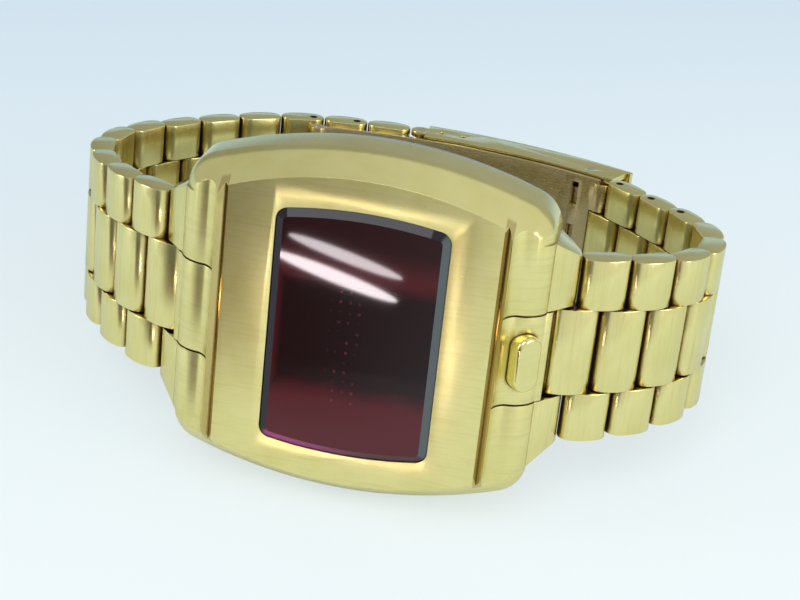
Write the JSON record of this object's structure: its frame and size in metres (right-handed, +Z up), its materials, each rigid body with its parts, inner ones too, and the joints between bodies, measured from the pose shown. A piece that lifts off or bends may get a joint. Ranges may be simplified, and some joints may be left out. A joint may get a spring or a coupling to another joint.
{
  "type": "led wrist watch",
  "caption": "Wrist watch with a dark crystal over a digital display, fluted tonneau case, one push button and a tapered three-row link bracelet on a fold-over clasp.",
  "frame": {"origin": "Middle of the bounding box's bottom face, on the table that the closed watch lies on.", "axes": "X runs along the longest side, from the 12 o'clock end to the 6 o'clock end. Y runs from the face plate back to the clasp. Z is up. The watch lies on one side: its wrist axis leans 15 degrees from Z toward +Y, so that the case rim and the clasp's edge both touch the table."},
  "size_m": [0.071, 0.0528, 0.0377],
  "materials": {
    "gold_case": "pale gold plate over steel, brushed face, polished side band",
    "gold_brushed": "pale gold plate over steel, satin brushed along the bracelet",
    "gold_polished": "pale gold plate over steel, polished",
    "red_crystal": "polished, very dark red, bevelled edge",
    "steel": "plain steel, fine brushed",
    "seal": "black rubber seal",
    "module": "matt black housing",
    "cell": "bright steel can"
  },
  "bodies": {
    "case": {"case_body": "gold_case", "crystal": "red_crystal", "crystal_gasket": "seal", "led_module": "module", "battery_cells": "cell", "case_back": "steel", "back_gasket": "seal", "button_pad": "seal", "end_link_left": "gold_brushed", "end_link_right": "gold_brushed"},
    "button": {"command_button": "gold_polished"},
    "left_1": {"centre_link_left_1": "gold_brushed"},
    "left_2": {"outer_pair_left_1": "gold_brushed"},
    "left_3": {"centre_link_left_2": "gold_brushed"},
    "left_4": {"outer_pair_left_2": "gold_brushed"},
    "left_5": {"centre_link_left_3": "gold_brushed"},
    "left_6": {"outer_pair_left_3": "gold_brushed"},
    "left_7": {"centre_link_left_4": "gold_brushed"},
    "left_8": {"outer_pair_left_4": "gold_brushed"},
    "left_9": {"centre_link_left_5": "gold_brushed"},
    "left_10": {"outer_pair_left_5": "gold_brushed"},
    "left_11": {"centre_link_left_6": "gold_brushed"},
    "left_12": {"outer_pair_left_6": "gold_brushed"},
    "left_13": {"centre_link_left_7": "gold_brushed"},
    "left_14": {"outer_pair_left_7": "gold_brushed"},
    "left_15": {"centre_link_left_8": "gold_brushed"},
    "left_16": {"outer_pair_left_8": "gold_brushed"},
    "left_17": {"centre_link_left_9": "gold_brushed"},
    "left_18": {"outer_pair_left_9": "gold_brushed"},
    "left_19": {"centre_link_left_10": "gold_brushed"},
    "left_20": {"outer_pair_left_10": "gold_brushed"},
    "left_21": {"centre_link_left_11": "gold_brushed"},
    "left_22": {"outer_pair_left_11": "gold_brushed"},
    "left_23": {"centre_link_left_12": "gold_brushed"},
    "left_24": {"outer_pair_left_12": "gold_brushed"},
    "left_25": {"centre_link_left_13": "gold_brushed"},
    "right_1": {"centre_link_right_1": "gold_brushed"},
    "right_2": {"outer_pair_right_1": "gold_brushed"},
    "right_3": {"centre_link_right_2": "gold_brushed"},
    "right_4": {"outer_pair_right_2": "gold_brushed"},
    "right_5": {"centre_link_right_3": "gold_brushed"},
    "right_6": {"outer_pair_right_3": "gold_brushed"},
    "right_7": {"centre_link_right_4": "gold_brushed"},
    "right_8": {"outer_pair_right_4": "gold_brushed"},
    "right_9": {"centre_link_right_5": "gold_brushed"},
    "right_10": {"outer_pair_right_5": "gold_brushed"},
    "right_11": {"centre_link_right_6": "gold_brushed"},
    "right_12": {"outer_pair_right_6": "gold_brushed"},
    "right_13": {"centre_link_right_7": "gold_brushed"},
    "right_14": {"outer_pair_right_7": "gold_brushed"},
    "right_15": {"centre_link_right_8": "gold_brushed"},
    "right_16": {"outer_pair_right_8": "gold_brushed"},
    "right_17": {"centre_link_right_9": "gold_brushed", "end_pin": "steel"},
    "cover": {"clasp_cover": "gold_brushed", "spring_bar": "steel", "cover_hinge_pin": "steel"},
    "middle_leaf": {"clasp_middle_leaf": "steel"},
    "inner_leaf": {"clasp_inner_leaf": "steel", "leaf_hinge_pin": "steel"}
  },
  "joints": [
    {"name": "button_press", "type": "slide", "parent": "case", "child": "button", "axis": [-0.6428, 0.7395, -0.2], "range_m": [0, 0.0006], "stiffness_N_per_m": 1200, "springref_m": -0.0005},
    {"name": "left_hinge_1", "type": "hinge", "parent": "case", "child": "left_1", "pos_m": [-0.02073, -0.01607, 0.01868], "axis": [0, 0.2611, 0.9653], "range_deg": [0, 30]},
    {"name": "left_hinge_2", "type": "hinge", "parent": "left_1", "child": "left_2", "pos_m": [-0.02314, -0.015, 0.01839], "axis": [0, 0.2611, 0.9653], "range_deg": [0, 6.6]},
    {"name": "left_hinge_3", "type": "hinge", "parent": "left_2", "child": "left_3", "pos_m": [-0.0254, -0.01367, 0.01803], "axis": [0, 0.2611, 0.9653], "range_deg": [0, 6]},
    {"name": "left_hinge_4", "type": "hinge", "parent": "left_3", "child": "left_4", "pos_m": [-0.02751, -0.01211, 0.01761], "axis": [0, 0.2611, 0.9653], "range_deg": [0, 6.1]},
    {"name": "left_hinge_5", "type": "hinge", "parent": "left_4", "child": "left_5", "pos_m": [-0.02943, -0.01035, 0.01713], "axis": [0, 0.2611, 0.9653], "range_deg": [0, 6.8]},
    {"name": "left_hinge_6", "type": "hinge", "parent": "left_5", "child": "left_6", "pos_m": [-0.03112, -0.00838, 0.0166], "axis": [0, 0.2611, 0.9653], "range_deg": [0, 7.9]},
    {"name": "left_hinge_7", "type": "hinge", "parent": "left_6", "child": "left_7", "pos_m": [-0.03252, -0.00621, 0.01601], "axis": [0, 0.2611, 0.9653], "range_deg": [0, 9.4]},
    {"name": "left_hinge_8", "type": "hinge", "parent": "left_7", "child": "left_8", "pos_m": [-0.03352, -0.00384, 0.01537], "axis": [0, 0.2611, 0.9653], "range_deg": [0, 10.8]},
    {"name": "left_hinge_9", "type": "hinge", "parent": "left_8", "child": "left_9", "pos_m": [-0.03406, -0.00134, 0.01469], "axis": [0, 0.2611, 0.9653], "range_deg": [0, 11.1]},
    {"name": "left_hinge_10", "type": "hinge", "parent": "left_9", "child": "left_10", "pos_m": [-0.03408, 0.00122, 0.014], "axis": [0, 0.2611, 0.9653], "range_deg": [0, 10.6]},
    {"name": "left_hinge_11", "type": "hinge", "parent": "left_10", "child": "left_11", "pos_m": [-0.03361, 0.00374, 0.01332], "axis": [0, 0.2611, 0.9653], "range_deg": [0, 9.5]},
    {"name": "left_hinge_12", "type": "hinge", "parent": "left_11", "child": "left_12", "pos_m": [-0.03272, 0.00615, 0.01267], "axis": [0, 0.2611, 0.9653], "range_deg": [0, 8.2]},
    {"name": "left_hinge_13", "type": "hinge", "parent": "left_12", "child": "left_13", "pos_m": [-0.03148, 0.00841, 0.01205], "axis": [0, 0.2611, 0.9653], "range_deg": [0, 6.6]},
    {"name": "left_hinge_14", "type": "hinge", "parent": "left_13", "child": "left_14", "pos_m": [-0.02998, 0.01052, 0.01148], "axis": [0, 0.2611, 0.9653], "range_deg": [0, 5.1]},
    {"name": "left_hinge_15", "type": "hinge", "parent": "left_14", "child": "left_15", "pos_m": [-0.0283, 0.01249, 0.01095], "axis": [0, 0.2611, 0.9653], "range_deg": [0, 4.5]},
    {"name": "left_hinge_16", "type": "hinge", "parent": "left_15", "child": "left_16", "pos_m": [-0.02646, 0.01433, 0.01045], "axis": [0, 0.2611, 0.9653], "range_deg": [0, 4.2]},
    {"name": "left_hinge_17", "type": "hinge", "parent": "left_16", "child": "left_17", "pos_m": [-0.02448, 0.01603, 0.00999], "axis": [0, 0.2611, 0.9653], "range_deg": [0, 4.4]},
    {"name": "left_hinge_18", "type": "hinge", "parent": "left_17", "child": "left_18", "pos_m": [-0.02237, 0.01759, 0.00957], "axis": [0, 0.2611, 0.9653], "range_deg": [0, 5.1]},
    {"name": "left_hinge_19", "type": "hinge", "parent": "left_18", "child": "left_19", "pos_m": [-0.02013, 0.01895, 0.0092], "axis": [0, 0.2611, 0.9653], "range_deg": [0, 6.3]},
    {"name": "left_hinge_20", "type": "hinge", "parent": "left_19", "child": "left_20", "pos_m": [-0.01775, 0.02007, 0.0089], "axis": [0, 0.2611, 0.9653], "range_deg": [0, 7.2]},
    {"name": "left_hinge_21", "type": "hinge", "parent": "left_20", "child": "left_21", "pos_m": [-0.01524, 0.02089, 0.00868], "axis": [0, 0.2611, 0.9653], "range_deg": [0, 7]},
    {"name": "left_hinge_22", "type": "hinge", "parent": "left_21", "child": "left_22", "pos_m": [-0.01264, 0.02141, 0.00854], "axis": [0, 0.2611, 0.9653], "range_deg": [0, 2.8]},
    {"name": "left_hinge_23", "type": "hinge", "parent": "left_22", "child": "left_23", "pos_m": [-0.01002, 0.02181, 0.00843], "axis": [0, 0.2611, 0.9653], "range_deg": [0, 2.7]},
    {"name": "left_hinge_24", "type": "hinge", "parent": "left_23", "child": "left_24", "pos_m": [-0.00739, 0.02209, 0.00836], "axis": [0, 0.2611, 0.9653], "range_deg": [0, 2.7]},
    {"name": "left_hinge_25", "type": "hinge", "parent": "left_24", "child": "left_25", "pos_m": [-0.00475, 0.02224, 0.00831], "axis": [0, 0.2611, 0.9653], "range_deg": [0, 2.7]},
    {"name": "right_hinge_1", "type": "hinge", "parent": "case", "child": "right_1", "pos_m": [0.01989, -0.01607, 0.01868], "axis": [0, -0.2611, -0.9653], "range_deg": [0, 16]},
    {"name": "right_hinge_2", "type": "hinge", "parent": "right_1", "child": "right_2", "pos_m": [0.02236, -0.01516, 0.01843], "axis": [0, -0.2611, -0.9653], "range_deg": [0, 3.85]},
    {"name": "right_hinge_3", "type": "hinge", "parent": "right_2", "child": "right_3", "pos_m": [0.02477, -0.01409, 0.01814], "axis": [0, -0.2611, -0.9653], "range_deg": [0, 4.75]},
    {"name": "right_hinge_4", "type": "hinge", "parent": "right_3", "child": "right_4", "pos_m": [0.02707, -0.01282, 0.0178], "axis": [0, -0.2611, -0.9653], "range_deg": [0, 6.35]},
    {"name": "right_hinge_5", "type": "hinge", "parent": "right_4", "child": "right_5", "pos_m": [0.02922, -0.01132, 0.01739], "axis": [0, -0.2611, -0.9653], "range_deg": [0, 7.95]},
    {"name": "right_hinge_6", "type": "hinge", "parent": "right_5", "child": "right_6", "pos_m": [0.03113, -0.00955, 0.01691], "axis": [0, -0.2611, -0.9653], "range_deg": [0, 10.15]},
    {"name": "right_hinge_7", "type": "hinge", "parent": "right_6", "child": "right_7", "pos_m": [0.03269, -0.00748, 0.01635], "axis": [0, -0.2611, -0.9653], "range_deg": [0, 12.35]},
    {"name": "right_hinge_8", "type": "hinge", "parent": "right_7", "child": "right_8", "pos_m": [0.03375, -0.00514, 0.01572], "axis": [0, -0.2611, -0.9653], "range_deg": [0, 14.35]},
    {"name": "right_hinge_9", "type": "hinge", "parent": "right_8", "child": "right_9", "pos_m": [0.03418, -0.00261, 0.01504], "axis": [0, -0.2611, -0.9653], "range_deg": [0, 14.85]},
    {"name": "right_hinge_10", "type": "hinge", "parent": "right_9", "child": "right_10", "pos_m": [0.03392, -0.00007, 0.01435], "axis": [0, -0.2611, -0.9653], "range_deg": [0, 13.55]},
    {"name": "right_hinge_11", "type": "hinge", "parent": "right_10", "child": "right_11", "pos_m": [0.03305, 0.00235, 0.01369], "axis": [0, -0.2611, -0.9653], "range_deg": [0, 10.35]},
    {"name": "right_hinge_12", "type": "hinge", "parent": "right_11", "child": "right_12", "pos_m": [0.03174, 0.00458, 0.01309], "axis": [0, -0.2611, -0.9653], "range_deg": [0, 6.45]},
    {"name": "right_hinge_13", "type": "hinge", "parent": "right_12", "child": "right_13", "pos_m": [0.03019, 0.00665, 0.01253], "axis": [0, -0.2611, -0.9653], "range_deg": [0, 4.15]},
    {"name": "right_hinge_14", "type": "hinge", "parent": "right_13", "child": "right_14", "pos_m": [0.02848, 0.00861, 0.012], "axis": [0, -0.2611, -0.9653], "range_deg": [0, 3.05]},
    {"name": "right_hinge_15", "type": "hinge", "parent": "right_14", "child": "right_15", "pos_m": [0.02667, 0.01047, 0.0115], "axis": [0, -0.2611, -0.9653], "range_deg": [0, 2.35]},
    {"name": "right_hinge_16", "type": "hinge", "parent": "right_15", "child": "right_16", "pos_m": [0.02478, 0.01226, 0.01101], "axis": [0, -0.2611, -0.9653], "range_deg": [0, 2.05]},
    {"name": "right_hinge_17", "type": "hinge", "parent": "right_16", "child": "right_17", "pos_m": [0.02283, 0.01399, 0.01055], "axis": [0, -0.2611, -0.9653], "range_deg": [0, 1.85]},
    {"name": "spring_bar_hinge", "type": "hinge", "parent": "left_25", "child": "cover", "pos_m": [-0.0021, 0.02228, 0.0083], "axis": [0, 0.2611, 0.9653], "range_deg": [0, 60]},
    {"name": "cover_hinge", "type": "hinge", "parent": "cover", "child": "middle_leaf", "pos_m": [0.01905, 0.01772, 0.00954], "axis": [0, 0.2611, 0.9653], "range_deg": [0, 165]},
    {"name": "leaf_hinge", "type": "hinge", "parent": "middle_leaf", "child": "inner_leaf", "pos_m": [-0.01411, 0.01873, 0.00926], "axis": [0, -0.2611, -0.9653], "range_deg": [0, 150]}
  ],
  "couplings": [
    {"joint": "right_hinge_1", "follows": "left_hinge_1", "ratio": 0.53333},
    {"joint": "right_hinge_2", "follows": "left_hinge_1", "ratio": 0.12844},
    {"joint": "right_hinge_3", "follows": "left_hinge_1", "ratio": 0.15844},
    {"joint": "right_hinge_4", "follows": "left_hinge_1", "ratio": 0.21177},
    {"joint": "right_hinge_5", "follows": "left_hinge_1", "ratio": 0.2651},
    {"joint": "right_hinge_6", "follows": "left_hinge_1", "ratio": 0.33844},
    {"joint": "right_hinge_7", "follows": "left_hinge_1", "ratio": 0.41177},
    {"joint": "right_hinge_8", "follows": "left_hinge_1", "ratio": 0.47844},
    {"joint": "right_hinge_9", "follows": "left_hinge_1", "ratio": 0.4951},
    {"joint": "right_hinge_10", "follows": "left_hinge_1", "ratio": 0.45177},
    {"joint": "right_hinge_11", "follows": "left_hinge_1", "ratio": 0.3451},
    {"joint": "right_hinge_12", "follows": "left_hinge_1", "ratio": 0.2151},
    {"joint": "right_hinge_13", "follows": "left_hinge_1", "ratio": 0.13844},
    {"joint": "right_hinge_14", "follows": "left_hinge_1", "ratio": 0.10177},
    {"joint": "right_hinge_15", "follows": "left_hinge_1", "ratio": 0.078436},
    {"joint": "right_hinge_16", "follows": "left_hinge_1", "ratio": 0.068436},
    {"joint": "right_hinge_17", "follows": "left_hinge_1", "ratio": 0.06177},
    {"joint": "spring_bar_hinge", "follows": "left_hinge_1", "ratio": 2},
    {"joint": "cover_hinge", "follows": "left_hinge_1", "ratio": 5.5},
    {"joint": "leaf_hinge", "follows": "left_hinge_1", "ratio": 5}
  ]
}
